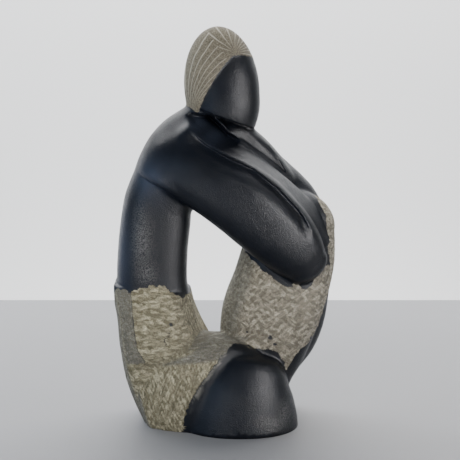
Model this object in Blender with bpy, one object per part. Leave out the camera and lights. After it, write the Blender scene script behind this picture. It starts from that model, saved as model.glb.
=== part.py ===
"""Seated figure hugging one raised knee, carved from a single block of dark stone.

Every limb is a closed solid lofted along its own centre line. The limbs are fused into
one skin, softened as a rasp and wax soften stone, thinned to broad facets and cut flat
below. Metres, +Z up. The figure faces +X, the folded knee comes forward to -Y, and the
origin is on the flat underside.
"""

import math

import bmesh
import bpy
import numpy as np
from mathutils import Vector

# Driving sizes, in metres
HEIGHT = 0.250            # from the underside to the crown of the hair
GRAIN = 0.0064 * HEIGHT   # size of the voxels that fuse the limbs
SOFTEN_SHARE = 0.5        # how far one softening pass moves a point to its neighbours' mean
SOFTEN_PASSES = 5         # passes that round the creases between limbs
KEPT_SHARE = 0.105        # share of the fused skin's triangles that stay

# How finely a limb is lofted before it is fused
SIDES = 36                # points round a section
STEPS = 8                 # sections between two stations
CAP_RINGS = 6             # sections in a rounded end
CAP_TIP = 0.02            # size of a rounded end's last section, as a share of the first

# Stone colours
WAXED_STONE = (0.010, 0.012, 0.018, 1.0)
WAXED_ROUGHNESS = 0.28

# The limbs. A station is a place on the centre line (x, y, z), the half width in the
# plane of the pose, the half depth across it, the turn of the section in degrees, and
# its squareness: 2 is an ellipse, 4 nearly a box. Lengths are in hundredths of HEIGHT.
# The caps say how far the rounded ends reach past the first and last stations. A cut is
# a place and a direction: what lies past the place in that direction is cut away.
LIMBS = {
    "trunk": {
        "caps": (2.0, 3.0),
        "stations": [
            (-15.9, 0.0, 23.0, 9.5, 8.6, 8, 3.0),
            (-18.4, 0.0, 34.0, 8.9, 8.8, 8, 3.0),
            (-18.3, 0.0, 43.9, 8.7, 9.2, 8, 3.0),
            (-17.4, 0.0, 52.0, 8.6, 9.4, 8, 3.0),
            (-16.8, 0.0, 56.0, 8.4, 9.6, 8, 3.0),
            (-15.4, 0.0, 59.4, 8.7, 10.2, 6, 2.9),
            (-13.9, 0.0, 61.8, 9.5, 12.2, 4, 2.8),
            (-12.2, 0.0, 64.2, 10.0, 13.2, 2, 2.6),
            (-9.9, 0.0, 67.4, 10.3, 13.2, 0, 2.5),
            (-7.4, 0.0, 71.4, 9.4, 12.0, 0, 2.4),
            (-4.2, 0.0, 76.0, 7.0, 9.0, 0, 2.2),
        ],
    },
    "hips": {
        "caps": (0.4, 1.0),
        "stations": [
            (-18.5, 0.0, 33.4, 9.3, 9.5, 8, 3.4),
            (-17.6, 0.0, 28.5, 9.4, 10.0, 8, 3.4),
            (-16.3, 0.0, 22.5, 10.3, 10.6, 8, 3.4),
            (-14.2, 0.0, 15.5, 11.5, 11.0, 6, 3.2),
            (-12.4, 0.0, 8.5, 11.3, 10.8, 4, 3.0),
            (-11.0, 0.0, 2.0, 10.3, 10.0, 0, 2.8),
            (-10.4, 0.0, -2.5, 9.4, 9.0, 0, 2.6),
        ],
    },
    "lap": {
        "caps": (2.0, 2.0),
        "stations": [
            (-12.0, 2.0, 9.0, 9.4, 8.0, 0, 3.0),
            (-3.0, 2.6, 10.0, 11.2, 7.4, 0, 3.0),
            (6.0, 3.4, 8.0, 9.6, 7.6, 0, 3.0),
        ],
    },
    "near_thigh": {
        "caps": (4.0, 4.0),
        "stations": [
            (-17.3, -2.4, 6.0, 10.0, 8.2, 0, 3.0),
            (-11.5, -3.9, 7.6, 11.8, 9.4, 0, 3.2),
            (-5.0, -4.8, 9.8, 13.6, 10.6, 0, 3.2),
            (1.5, -5.2, 8.6, 13.0, 10.6, 0, 3.0),
            (7.0, -5.6, 7.0, 11.0, 9.6, 0, 2.8),
        ],
    },
    "near_knee": {
        "caps": (2.0, 3.4),
        "stations": [
            (4.2, -6.4, -4.0, 14.2, 11.6, 2, 3.2),
            (4.3, -6.4, 0.0, 14.0, 11.2, 4, 3.2),
            (4.9, -6.4, 6.0, 12.6, 10.8, 12, 3.0),
            (5.9, -6.2, 12.0, 10.0, 9.6, 26, 2.9),
            (6.5, -5.8, 16.4, 7.4, 7.2, 36, 2.7),
        ],
    },
    "raised_leg": {
        "caps": (2.0, 9.0),
        "stations": [
            (9.4, 6.0, 2.4, 6.4, 7.6, 0, 3.0),
            (9.0, 5.2, 9.5, 8.2, 8.4, 0, 3.0),
            (9.6, 4.4, 16.6, 10.8, 9.0, 0, 3.0),
            (11.2, 3.4, 25.4, 12.3, 9.4, 0, 3.2),
            (14.1, 2.8, 34.2, 12.2, 9.4, 0, 3.2),
            (16.1, 2.6, 42.0, 11.9, 9.0, 0, 3.0),
            (17.2, 2.6, 50.0, 10.8, 8.0, 0, 2.8),
        ],
    },
    "shin": {
        "caps": (4.0, 4.0),
        "stations": [
            (21.9, 5.0, 32.7, 5.0, 5.6, 0, 2.2),
            (20.7, 6.0, 25.2, 5.2, 5.8, 0, 2.2),
            (18.4, 6.6, 19.0, 5.2, 6.0, 0, 2.2),
            (14.2, 7.2, 13.2, 5.2, 6.2, 0, 2.2),
            (10.4, 7.4, 7.8, 5.6, 6.6, 0, 2.4),
            (8.6, 7.4, 1.0, 6.2, 7.0, 0, 2.6),
            (8.4, 7.4, -4.0, 6.4, 7.0, 0, 2.6),
        ],
    },
    "near_arm": {
        "caps": (3.0, 4.0),
        "stations": [
            (-14.0, -4.6, 68.6, 7.4, 7.0, 0, 2.4),
            (-10.7, -6.4, 66.6, 7.7, 7.2, 0, 2.4),
            (-7.0, -7.6, 64.4, 7.6, 7.2, 0, 2.3),
            (-1.4, -8.4, 60.8, 7.8, 7.0, 0, 2.2),
            (4.4, -8.5, 56.5, 8.0, 6.8, 0, 2.2),
            (8.1, -8.2, 53.3, 8.0, 6.6, 0, 2.2),
            (13.3, -7.4, 48.4, 7.7, 6.2, 0, 2.2),
            (17.6, -6.2, 44.1, 6.9, 5.4, 0, 2.2),
            (20.2, -5.2, 41.2, 5.8, 4.4, 0, 2.2),
        ],
    },
    "middle_arm": {
        "caps": (4.0, 4.0),
        "stations": [
            (-9.0, -2.0, 77.0, 5.4, 5.0, 10, 2.6),
            (-6.0, -1.2, 74.4, 5.3, 5.2, 20, 3.0),
            (-3.6, -0.8, 71.8, 5.0, 5.2, 28, 3.4),
            (1.4, -0.6, 67.7, 4.6, 5.2, 30, 3.6),
            (7.8, -0.6, 63.0, 4.4, 5.0, 30, 3.6),
            (15.4, -0.4, 56.6, 4.2, 4.8, 30, 3.6),
            (21.8, 0.0, 49.0, 3.8, 4.4, 30, 3.4),
        ],
    },
    "far_arm": {
        "caps": (3.0, 4.0),
        "stations": [
            (-14.0, 5.0, 68.6, 7.6, 7.0, 0, 2.4),
            (-9.0, 7.4, 67.8, 8.6, 7.2, 0, 2.4),
            (-3.0, 8.8, 66.8, 9.4, 7.2, 0, 2.4),
            (3.0, 9.6, 64.6, 9.6, 7.0, 0, 2.2),
            (9.5, 9.6, 60.1, 8.4, 7.0, 0, 2.2),
            (16.3, 9.0, 54.0, 7.8, 6.4, 0, 2.2),
            (21.2, 7.0, 47.8, 6.4, 5.0, 0, 2.2),
        ],
    },
    "head": {
        "caps": (3.0, 15.0),
        "stations": [
            (0.0, 1.0, 74.5, 7.6, 7.6, 0, 2.1),
            (0.0, 1.0, 79.5, 8.7, 8.5, 0, 2.1),
            (-0.4, 1.0, 84.5, 9.0, 8.7, 0, 2.1),
        ],
    },
    "hair": {
        "caps": (0.5, 15.6),
        "stations": [
            (-0.1, 1.0, 75.5, 8.8, 8.4, 0, 2.1),
            (-0.2, 1.0, 79.5, 9.2, 9.0, 0, 2.1),
            (-0.7, 1.0, 84.5, 9.4, 9.2, 0, 2.1),
        ],
        "cuts": [((-6.8, -5.0, 77.0), (0.735, -0.323, -0.597))],
    },
}


def smoothed(rows, steps):
    """A Catmull-Rom curve through the rows, every column at once, with steps points a span."""
    rows = np.array(rows, float)
    padded = np.vstack([2 * rows[0] - rows[1], rows, 2 * rows[-1] - rows[-2]])
    share = np.linspace(0, 1, steps, endpoint=False)[:, None]
    spans = [
        0.5 * (2 * b + (c - a) * share + (2 * a - 5 * b + 4 * c - d) * share**2
               + (3 * b - a - 3 * c + d) * share**3)
        for a, b, c, d in zip(padded, padded[1:], padded[2:], padded[3:])
    ]
    return np.vstack(spans + [rows[-1:]])


def unit(vectors):
    """The vectors made one long."""
    return vectors / np.linalg.norm(vectors, axis=-1, keepdims=True)


def sections(limb):
    """The rings of points that a limb is skinned over, rounded ends included."""
    rows = smoothed(limb["stations"], STEPS)
    along = unit(np.gradient(rows[:, :3], axis=0))
    size = np.ones(len(rows))
    turns = np.linspace(0, math.pi / 2, CAP_RINGS + 1)[1:]
    for end, cap in ((0, limb["caps"][0]), (-1, limb["caps"][1])):
        way = along[end] * (1 if end else -1)
        extra = np.repeat(rows[end][None], CAP_RINGS, axis=0)
        extra[:, :3] += way * (cap * np.sin(turns))[:, None]
        shrink = np.maximum(np.cos(turns), CAP_TIP)
        ways = np.repeat(along[end][None], CAP_RINGS, axis=0)
        if end:
            rows = np.vstack([rows, extra])
            along = np.vstack([along, ways])
            size = np.concatenate([size, shrink])
        else:
            rows = np.vstack([extra[::-1], rows])
            along = np.vstack([ways, along])
            size = np.concatenate([shrink[::-1], size])
    across = np.array([0.0, 1.0, 0.0])
    depth_way = unit(across - along * (along @ across)[:, None])
    width_way = np.cross(depth_way, along)
    angle = np.linspace(0, 2 * math.pi, SIDES, endpoint=False)
    bulge = rows[:, 6:7]
    reach = (np.abs(np.cos(angle)) ** bulge + np.abs(np.sin(angle)) ** bulge) ** (-1 / bulge)
    wide = (size * rows[:, 3])[:, None] * reach * np.cos(angle)
    deep = (size * rows[:, 4])[:, None] * reach * np.sin(angle)
    roll = np.radians(rows[:, 5])[:, None]
    turned_wide = wide * np.cos(roll) - deep * np.sin(roll)
    turned_deep = wide * np.sin(roll) + deep * np.cos(roll)
    ring = (rows[:, None, :3] + turned_wide[..., None] * width_way[:, None]
            + turned_deep[..., None] * depth_way[:, None])
    return ring * HEIGHT / 100


def limb_mesh(limb):
    """One limb as a closed mesh: its rings skinned, its ends closed, its cuts made."""
    mesh = bmesh.new()
    rings = [[mesh.verts.new(point) for point in ring] for ring in sections(limb)]
    for lower, upper in zip(rings, rings[1:]):
        for i in range(SIDES):
            j = (i + 1) % SIDES
            mesh.faces.new((lower[i], lower[j], upper[j], upper[i]))
    mesh.faces.new(rings[0][::-1])
    mesh.faces.new(rings[-1])
    for place, direction in limb.get("cuts", []):
        everything = mesh.verts[:] + mesh.edges[:] + mesh.faces[:]
        cut = bmesh.ops.bisect_plane(
            mesh, geom=everything, plane_co=Vector(place) * HEIGHT / 100,
            plane_no=direction, clear_outer=True)
        rim = [item for item in cut["geom_cut"] if isinstance(item, bmesh.types.BMEdge)]
        bmesh.ops.contextual_create(mesh, geom=rim)
    bmesh.ops.recalc_face_normals(mesh, faces=mesh.faces)
    return mesh


def waxed_stone():
    """Black serpentine, rubbed smooth and waxed."""
    material = bpy.data.materials.new("waxed_stone")
    material.use_nodes = True
    shader = material.node_tree.nodes["Principled BSDF"]
    shader.inputs["Base Color"].default_value = WAXED_STONE
    shader.inputs["Roughness"].default_value = WAXED_ROUGHNESS
    shader.inputs["Metallic"].default_value = 0.0
    return material


def floor_cutter():
    """A block whose top is the plane that the figure stands on."""
    mesh = bpy.data.meshes.new("floor_cutter")
    block = bmesh.new()
    bmesh.ops.create_cube(block, size=2 * HEIGHT)
    bmesh.ops.translate(block, verts=block.verts, vec=(0, 0, -HEIGHT))
    block.to_mesh(mesh)
    block.free()
    cutter = bpy.data.objects.new("floor_cutter", mesh)
    bpy.context.scene.collection.objects.link(cutter)
    cutter.hide_render = True
    cutter.display_type = "WIRE"
    return cutter


def seated_figure():
    """The whole carving: limbs fused, softened, thinned and cut flat below."""
    mesh = bpy.data.meshes.new("seated_figure")
    figure_mesh = bmesh.new()
    for limb in LIMBS.values():
        piece = limb_mesh(limb)
        piece.to_mesh(mesh)
        piece.free()
        figure_mesh.from_mesh(mesh)
    figure_mesh.to_mesh(mesh)
    figure_mesh.free()
    mesh.materials.append(waxed_stone())
    figure = bpy.data.objects.new("seated_figure", mesh)
    bpy.context.scene.collection.objects.link(figure)

    fuse = figure.modifiers.new("fuse", "REMESH")
    fuse.mode = "VOXEL"
    fuse.voxel_size = GRAIN
    fuse.use_smooth_shade = True
    soften = figure.modifiers.new("soften", "SMOOTH")
    soften.factor = SOFTEN_SHARE
    soften.iterations = SOFTEN_PASSES
    thin = figure.modifiers.new("thin", "DECIMATE")
    thin.ratio = KEPT_SHARE
    stand = figure.modifiers.new("stand", "BOOLEAN")
    stand.operation = "DIFFERENCE"
    stand.object = floor_cutter()
    return figure


for leftover in list(bpy.data.objects):
    bpy.data.objects.remove(leftover)
seated_figure()
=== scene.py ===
# %% [markdown]
# A stone figure that hugs one raised knee, carved from a single block. Its skin is rubbed
# smooth and waxed until it is nearly black. Its skirt and hair are left as the chisel and
# the point left them, pale and matt. The two finishes are the whole effect of the piece,
# so this script builds one surface and spends its triangles where the tools cut.

# %%
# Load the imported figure, which gives the frame and the largest box allowed
import math
import bmesh
import bpy
import numpy as np
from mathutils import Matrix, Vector


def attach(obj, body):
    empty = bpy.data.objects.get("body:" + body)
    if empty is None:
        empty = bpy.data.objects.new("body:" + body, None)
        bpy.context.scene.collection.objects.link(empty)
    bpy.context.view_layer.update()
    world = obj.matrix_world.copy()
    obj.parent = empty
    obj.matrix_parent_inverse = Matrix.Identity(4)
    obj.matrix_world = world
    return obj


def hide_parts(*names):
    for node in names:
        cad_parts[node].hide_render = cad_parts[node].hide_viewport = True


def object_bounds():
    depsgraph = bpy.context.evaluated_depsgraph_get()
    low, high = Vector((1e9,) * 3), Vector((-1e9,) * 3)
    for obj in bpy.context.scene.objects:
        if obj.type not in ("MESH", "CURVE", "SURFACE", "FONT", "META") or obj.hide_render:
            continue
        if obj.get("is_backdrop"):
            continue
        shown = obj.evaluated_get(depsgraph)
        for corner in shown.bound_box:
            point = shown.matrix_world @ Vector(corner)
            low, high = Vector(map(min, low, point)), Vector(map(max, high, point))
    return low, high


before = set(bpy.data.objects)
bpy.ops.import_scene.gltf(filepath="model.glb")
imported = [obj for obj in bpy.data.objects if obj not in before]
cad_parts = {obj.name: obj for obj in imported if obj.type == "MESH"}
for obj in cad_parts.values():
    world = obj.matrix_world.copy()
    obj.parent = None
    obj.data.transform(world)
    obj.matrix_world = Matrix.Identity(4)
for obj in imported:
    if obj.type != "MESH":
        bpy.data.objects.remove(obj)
bpy.context.view_layer.update()
SOLID_LOW, SOLID_HIGH = (np.array(corner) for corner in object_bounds())
HEIGHT = 0.250
PART = HEIGHT / 100
print("solid box", SOLID_LOW.round(4), SOLID_HIGH.round(4))

# %% [markdown]
# The picture is taken from table height with a long lens, looking down ten degrees. The
# same viewpoint is used below to place the hem, the hairline and the other borders that
# are only known from that side, so it is fixed first.

# %%
# The camera
EYE = np.array([0.00315, -0.73861, 0.25284])
LOOK_DOWN = 10
camera_data = bpy.data.cameras.new("view")
camera_data.sensor_width = 36
camera_data.lens = 93.05
camera = bpy.data.objects.new("view", camera_data)
camera.location = EYE
camera.rotation_euler = (math.radians(90 - LOOK_DOWN), 0, 0)
bpy.context.scene.collection.objects.link(camera)
bpy.context.scene.camera = camera


def seen(points):
    """Where the line from the eye to each point crosses the plane y = 0.

    The crossing is eye + t (point - eye) with t = -eye_y / (point_y - eye_y). The answer
    is (across, up) in hundredths of the height.
    """
    reach = -EYE[1] / (points[:, 1] - EYE[1])
    crossing = EYE + reach[:, None] * (points - EYE)
    return crossing[:, [0, 2]] / PART


# %% [markdown]
# A carver works a figure like this from a few masses: trunk, hips, two thighs, a knee
# that lies on the ground, a shin, three ridges of arm, a head and a cap of hair. Each
# mass is a loft: a section that is a superellipse, |w/W|^k + |d/D|^k = 1, carried along a
# smooth centre line. The sizes are those of the solid, here and there made finer, with a
# fuller lap. A neck and a throat are added where the solid has plain cuts.

# %%
# The masses: place, half width, half depth, turn in degrees and squareness of each station
LIMBS = {
    "trunk": [(2.0, 3.0), [
        (-15.9, 0, 23.0, 9.5, 8.6, 8, 3.0), (-18.4, 0, 34.0, 8.9, 8.8, 8, 3.0),
        (-18.3, 0, 43.9, 8.7, 9.2, 8, 3.0), (-17.4, 0, 52.0, 8.6, 9.4, 8, 3.0),
        (-16.8, 0, 56.0, 8.4, 9.5, 8, 3.0), (-15.3, 0, 59.5, 8.6, 9.6, 6, 2.9),
        (-14.6, 0, 60.6, 8.9, 9.8, 5, 2.9), (-14.15, 0, 61.4, 9.2, 12.7, 4, 2.8),
        (-13.3, 0, 62.7, 9.6, 13.2, 3, 2.7), (-12.2, 0, 64.2, 10.0, 13.3, 2, 2.6),
        (-9.9, 0, 67.4, 10.3, 12.2, 0, 2.5), (-7.4, 0, 71.4, 9.4, 9.2, 0, 2.4),
        (-4.2, 0, 76.0, 7.0, 6.6, 0, 2.2)]],
    "hips": [(0.4, 1.0), [
        (-19.0, 0, 38.0, 9.3, 9.5, 8, 3.4), (-18.5, 0, 33.4, 9.3, 9.6, 8, 3.4),
        (-17.6, 0, 28.5, 9.4, 10.0, 8, 3.4),
        (-16.3, 0, 22.5, 10.3, 10.6, 8, 3.4), (-14.2, 0, 15.5, 11.5, 11.0, 6, 3.2),
        (-12.4, 0, 8.5, 11.3, 10.8, 4, 3.0), (-11.0, 0, 2.0, 10.3, 10.0, 0, 2.8),
        (-10.4, 0, -2.5, 9.4, 9.0, 0, 2.6)]],
    "lap": [(2.0, 2.0), [
        (-12.0, 2.0, 9.0, 10.4, 8.6, 0, 3.2), (-3.0, 2.8, 9.6, 11.6, 8.6, 0, 3.2),
        (6.0, 3.6, 8.4, 11.0, 9.2, 0, 3.2)]],
    "near_thigh": [(4.0, 4.0), [
        (-17.3, -2.4, 6.0, 10.0, 8.2, 0, 3.0), (-11.5, -3.9, 7.6, 11.8, 9.4, 0, 3.2),
        (-5.0, -4.6, 9.8, 13.6, 9.4, 0, 3.0), (1.5, -4.8, 8.6, 13.0, 7.6, 0, 2.8),
        (7.0, -5.0, 7.0, 11.0, 6.4, 0, 2.8)]],
    "near_knee": [(2.0, 2.2), [
        (3.6, -5.4, -4.0, 15.0, 12.1, 0, 2.15), (3.7, -5.4, 0.0, 14.9, 12.0, 0, 2.15),
        (3.9, -5.4, 5.0, 14.2, 11.7, -2, 2.15), (4.5, -5.4, 10.0, 12.7, 11.0, -4, 2.15),
        (5.4, -5.2, 14.5, 10.4, 9.4, -6, 2.15), (5.8, -5.0, 16.6, 8.6, 8.0, -6, 2.15)]],
    "raised_leg": [(2.0, 9.0), [
        (9.4, 6.0, 2.4, 6.4, 7.6, 0, 3.0), (9.0, 5.2, 9.5, 8.2, 8.4, 0, 3.0),
        (9.6, 4.4, 16.6, 10.8, 9.0, 0, 3.0), (11.2, 3.4, 25.4, 12.3, 9.4, 0, 3.2),
        (14.1, 2.8, 34.2, 12.2, 9.4, 0, 3.2), (16.1, 2.8, 42.0, 11.9, 8.2, 0, 3.0),
        (17.2, 3.2, 50.0, 10.8, 6.0, 0, 2.8)]],
    "shin": [(4.0, 4.0), [
        (21.9, 5.0, 32.7, 5.0, 5.6, 0, 2.2), (20.7, 6.0, 25.2, 5.2, 5.8, 0, 2.2),
        (18.4, 6.6, 19.0, 5.2, 6.0, 0, 2.2), (14.2, 7.2, 13.2, 5.2, 6.2, 0, 2.2),
        (10.4, 7.4, 7.8, 5.6, 6.6, 0, 2.4), (8.6, 7.4, 1.0, 6.2, 7.0, 0, 2.6),
        (8.4, 7.4, -4.0, 6.4, 7.0, 0, 2.6)]],
    "near_arm": [(3.0, 4.0), [
        (-14.0, -4.6, 67.6, 7.2, 7.0, 0, 2.3), (-10.7, -6.4, 66.1, 7.8, 7.2, 0, 2.3),
        (-6.7, -7.6, 64.6, 8.3, 7.0, 0, 2.3), (-0.9, -8.3, 61.4, 8.7, 6.8, 0, 2.4),
        (5.0, -8.4, 57.3, 9.0, 6.6, 0, 2.4), (8.7, -8.1, 54.1, 9.0, 6.4, 0, 2.4),
        (13.8, -7.4, 49.1, 8.4, 6.0, 0, 2.3), (17.8, -6.2, 44.4, 7.2, 5.4, 0, 2.2),
        (20.2, -5.2, 41.2, 5.8, 4.4, 0, 2.2)]],
    "middle_arm": [(2.0, 3.0), [
        (-9.7, -4.8, 74.2, 4.0, 6.8, 22, 4.0), (-5.4, -5.0, 70.4, 4.0, 7.0, 21, 4.0),
        (-0.9, -5.0, 67.6, 4.0, 7.0, 18, 4.0), (5.8, -5.0, 63.8, 4.0, 7.0, 14, 4.0),
        (11.4, -4.6, 59.5, 4.0, 6.8, 14, 4.0), (16.8, -3.2, 54.7, 3.9, 5.8, 19, 3.8),
        (20.6, -1.4, 50.6, 3.8, 4.9, 26, 3.6), (23.4, 0.0, 46.2, 3.4, 4.2, 30, 3.2)]],
    "far_arm": [(3.0, 4.0), [
        (-14.0, 5.0, 68.6, 7.6, 7.0, 0, 2.4), (-9.0, 7.4, 67.8, 8.6, 7.2, 0, 2.4),
        (-3.0, 8.8, 66.8, 9.4, 7.2, 0, 2.4), (3.0, 9.6, 64.4, 9.6, 7.0, 0, 2.2),
        (9.5, 9.6, 59.7, 8.6, 7.0, 0, 2.2), (16.3, 9.0, 54.0, 8.0, 6.4, 0, 2.2),
        (21.2, 7.0, 47.8, 6.4, 5.0, 0, 2.2)]],
    "neck": [(1.5, 3.0), [
        (-6.2, 1.4, 77.4, 4.0, 5.4, 0, 2.3), (-7.0, -0.4, 74.6, 4.8, 6.2, 0, 2.4),
        (-8.2, -3.2, 71.0, 5.2, 7.2, 0, 2.4)]],
    "throat": [(3.0, 3.0), [
        (-6.0, 3.4, 72.6, 6.4, 5.4, 0, 2.6), (0.4, 3.6, 70.8, 6.6, 5.4, 0, 2.8),
        (6.4, 5.6, 66.2, 6.6, 6.0, 0, 2.8), (12.6, 7.2, 58.6, 6.4, 6.0, 0, 2.6)]],
    "head": [(1.6, 14.7), [
        (0.0, 1.0, 75.0, 7.6, 7.4, 0, 2.1), (0.0, 1.0, 79.5, 8.7, 8.5, 0, 2.1),
        (-0.4, 1.0, 84.5, 9.0, 8.7, 0, 2.1)]],
    "hair": [(0.5, 15.3), [
        (-0.1, 1.0, 75.5, 8.8, 8.4, 0, 2.1), (-0.2, 1.0, 79.5, 9.2, 9.0, 0, 2.1),
        (-0.7, 1.0, 84.5, 9.4, 9.2, 0, 2.1)]],
}
LIMBS["crown"] = LIMBS["hair"]
CUTS = {"hair": (np.array([-1.87, -7.84, 88.64]), np.array([0.774, -0.389, -0.499])),
        "crown": (np.array([2.79, -6.0, 93.06]), np.array([0.25, -0.35, -0.90])),
        "head": (np.array([-3.3, 0.0, 78.7]), np.array([-0.351, 0.0, -0.936])),
        "hips": (np.array([-18.0, 0.0, 35.0]), np.array([0.115, 0.0, 1.0]))}
STEPS = 10


def unit(vectors):
    """The vectors made one long."""
    return vectors / np.linalg.norm(vectors, axis=-1, keepdims=True)


def centre_line(limb):
    """A Catmull-Rom curve through a limb's stations, with the three directions of each row."""
    rows = np.array(LIMBS[limb][1], float)
    padded = np.vstack([2 * rows[0] - rows[1], rows, 2 * rows[-1] - rows[-2]])
    a, b, c, d = (padded[i:len(padded) - 3 + i, None] for i in range(4))
    share = np.linspace(0, 1, STEPS, endpoint=False)[None, :, None]
    spans = 0.5 * (2 * b + (c - a) * share + (2 * a - 5 * b + 4 * c - d) * share**2
                   + (3 * b - a - 3 * c + d) * share**3)
    rows = np.vstack([spans.reshape(-1, rows.shape[1]), rows[-1:]])
    along = unit(np.gradient(rows[:, :3], axis=0))
    across = np.array([0.0, 1.0, 0.0])
    deep = unit(across - along * (along @ across)[:, None])
    return rows, along, np.cross(deep, along), deep


print(len(LIMBS), "masses")

# %% [markdown]
# The lofts are skinned as grids of points, ring by ring, with domed ends. They overlap
# freely, as the masses do in a carver's head. The hair and its crown are one mass that is
# cut off twice, at the temple and over the brow, so that the two cuts make the hairline.

# %%
# Skin each mass and join them all in one mesh
SIDES = 64
CAP_RINGS = 10


def rings(limb):
    """Rings of a limb: centre + W(u) r(v) cos(v) wide + D(u) r(v) sin(v) deep, ends domed."""
    rows, along, wide, deep = centre_line(limb)
    size = np.ones(len(rows))
    turns = np.linspace(0, math.pi / 2, CAP_RINGS + 1)[1:]
    first, last = LIMBS[limb][0]
    index = np.r_[np.zeros(CAP_RINGS, int), np.arange(len(rows)), np.full(CAP_RINGS, len(rows) - 1)]
    push = np.r_[-first * np.sin(turns)[::-1], np.zeros(len(rows)), last * np.sin(turns)]
    dome = np.maximum(np.cos(turns), 0.02)
    size = np.r_[dome[::-1], size, dome][:, None]
    rows, along, wide, deep = (item[index] for item in (rows, along, wide, deep))
    centre = rows[:, :3] + along * push[:, None]
    angle = np.linspace(0, 2 * math.pi, SIDES, endpoint=False)
    bulge = rows[:, 6:7]
    reach = (np.abs(np.cos(angle)) ** bulge + np.abs(np.sin(angle)) ** bulge) ** (-1 / bulge)
    w = size * rows[:, 3:4] * reach * np.cos(angle)
    d = size * rows[:, 4:5] * reach * np.sin(angle)
    roll = np.radians(rows[:, 5:6])
    w, d = w * np.cos(roll) - d * np.sin(roll), w * np.sin(roll) + d * np.cos(roll)
    return (centre[:, None] + w[..., None] * wide[:, None] + d[..., None] * deep[:, None]) * PART


def skin(limb):
    """A limb's rings as a closed bmesh, cut along its plane if it has one."""
    grid = rings(limb)
    count = len(grid)
    i, j = np.meshgrid(np.arange(count - 1), np.arange(SIDES), indexing="ij")
    k = (j + 1) % SIDES
    quads = np.stack([i * SIDES + j, i * SIDES + k, (i + 1) * SIDES + k, (i + 1) * SIDES + j], -1)
    ends = [list(range(SIDES))[::-1], list(range((count - 1) * SIDES, count * SIDES))]
    mesh = bpy.data.meshes.new(limb)
    mesh.from_pydata(grid.reshape(-1, 3).tolist(), [], quads.reshape(-1, 4).tolist() + ends)
    shape = bmesh.new()
    shape.from_mesh(mesh)
    bpy.data.meshes.remove(mesh)
    if limb in CUTS:
        place, way = CUTS[limb]
        cut = bmesh.ops.bisect_plane(
            shape, geom=shape.verts[:] + shape.edges[:] + shape.faces[:],
            plane_co=Vector(place * PART), plane_no=Vector(way), clear_outer=True)
        rim = [item for item in cut["geom_cut"] if isinstance(item, bmesh.types.BMEdge)]
        bmesh.ops.contextual_create(shape, geom=rim)
    bmesh.ops.recalc_face_normals(shape, faces=shape.faces)
    return shape


figure_mesh = bpy.data.meshes.new("carved_figure")
joined = bmesh.new()
for limb in LIMBS:
    shape = skin(limb)
    shape.to_mesh(figure_mesh)
    joined.from_mesh(figure_mesh)
    shape.free()
joined.to_mesh(figure_mesh)
joined.free()
figure = bpy.data.objects.new("carved_figure", figure_mesh)
bpy.context.scene.collection.objects.link(figure)
print("lofts:", len(figure_mesh.vertices), "points")

# %% [markdown]
# To know where the chisel goes, each point of the skin is asked how far it lies outside
# each mass. The mass that it lies on gives its finish: cloth, hair or skin. Some borders
# are then moved to where the carver scratched them.

# %%
# How far points lie outside a mass
def outside(points, limb):
    """Distance outside a limb in hundredths: (s - 1) times the smaller half size.

    s is the section's own measure, (|w/W|^k + |d/D|^k)^(1/k), and past an end it is
    sqrt(s^2 + (a / cap)^2), with a the distance past the end.
    """
    rows, along, wide, deep = centre_line(limb)
    p = points / PART
    centre = rows[:, :3]
    near = np.argmin((centre**2).sum(1) - 2 * p @ centre.T, axis=1)
    spacing = np.linalg.norm(np.gradient(centre, axis=0), axis=1)
    ahead = ((p - centre[near]) * along[near]).sum(1)
    station = np.clip(near + ahead / spacing[near], 0, len(rows) - 1)
    low = np.minimum(station.astype(int), len(rows) - 2)
    share = (station - low)[:, None]
    row = rows[low] * (1 - share) + rows[low + 1] * share
    offset = p - row[:, :3]
    over = (offset * along[near]).sum(1)
    first, last = LIMBS[limb][0]
    over = np.where(station <= 0, -over / first, np.where(station >= len(rows) - 1, over / last, 0))
    w = (offset * wide[near]).sum(1)
    d = (offset * deep[near]).sum(1)
    roll = np.radians(row[:, 5])
    w, d = w * np.cos(roll) + d * np.sin(roll), d * np.cos(roll) - w * np.sin(roll)
    bulge = row[:, 6]
    size = ((np.abs(w) / row[:, 3]) ** bulge + (np.abs(d) / row[:, 4]) ** bulge) ** (1 / bulge)
    size = np.hypot(size, np.maximum(over, 0))
    depth = (size - 1) * np.minimum(row[:, 3], row[:, 4])
    if limb in CUTS:
        place, way = CUTS[limb]
        depth = np.maximum(depth, (p - place) @ unit(way))
    return depth


def chance(*cells, seed):
    """A number from 0 to 1 for each lattice cell: the fraction of 43758.5 sin(k . cell)."""
    mixed = sum(cell * step for cell, step in zip(cells, (127.1, 311.7, 74.7)))
    return np.mod(np.sin(mixed + seed * 17.13) * 43758.5453, 1.0)


def drift(points, size, seed):
    """Smooth noise from -1 to 1: random values on a cubic lattice, eased between."""
    scaled = points / size
    cell = np.floor(scaled)
    ease = (scaled - cell) ** 2 * (3 - 2 * (scaled - cell))
    total = 0
    for corner in np.ndindex(2, 2, 2):
        share = np.prod(np.where(corner, ease, 1 - ease), axis=1)
        total = total + share * chance(*(cell + corner).T, seed=seed)
    return 2 * total - 1


def step(value, low, high):
    """0 below low, 1 above high, eased between."""
    share = np.clip((value - low) / (high - low), 0, 1)
    return share * share * (3 - 2 * share)


def to_line(across, up, corners):
    """Distance to an open line in the front view."""
    gap = np.full(len(across), np.inf)
    for (ax, ay), (bx, by) in zip(corners[:-1], corners[1:]):
        length = (bx - ax) ** 2 + (by - ay) ** 2
        share = np.clip(((across - ax) * (bx - ax) + (up - ay) * (by - ay)) / length, 0, 1)
        gap = np.minimum(gap, np.hypot(across - ax - share * (bx - ax), up - ay - share * (by - ay)))
    return gap


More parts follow.
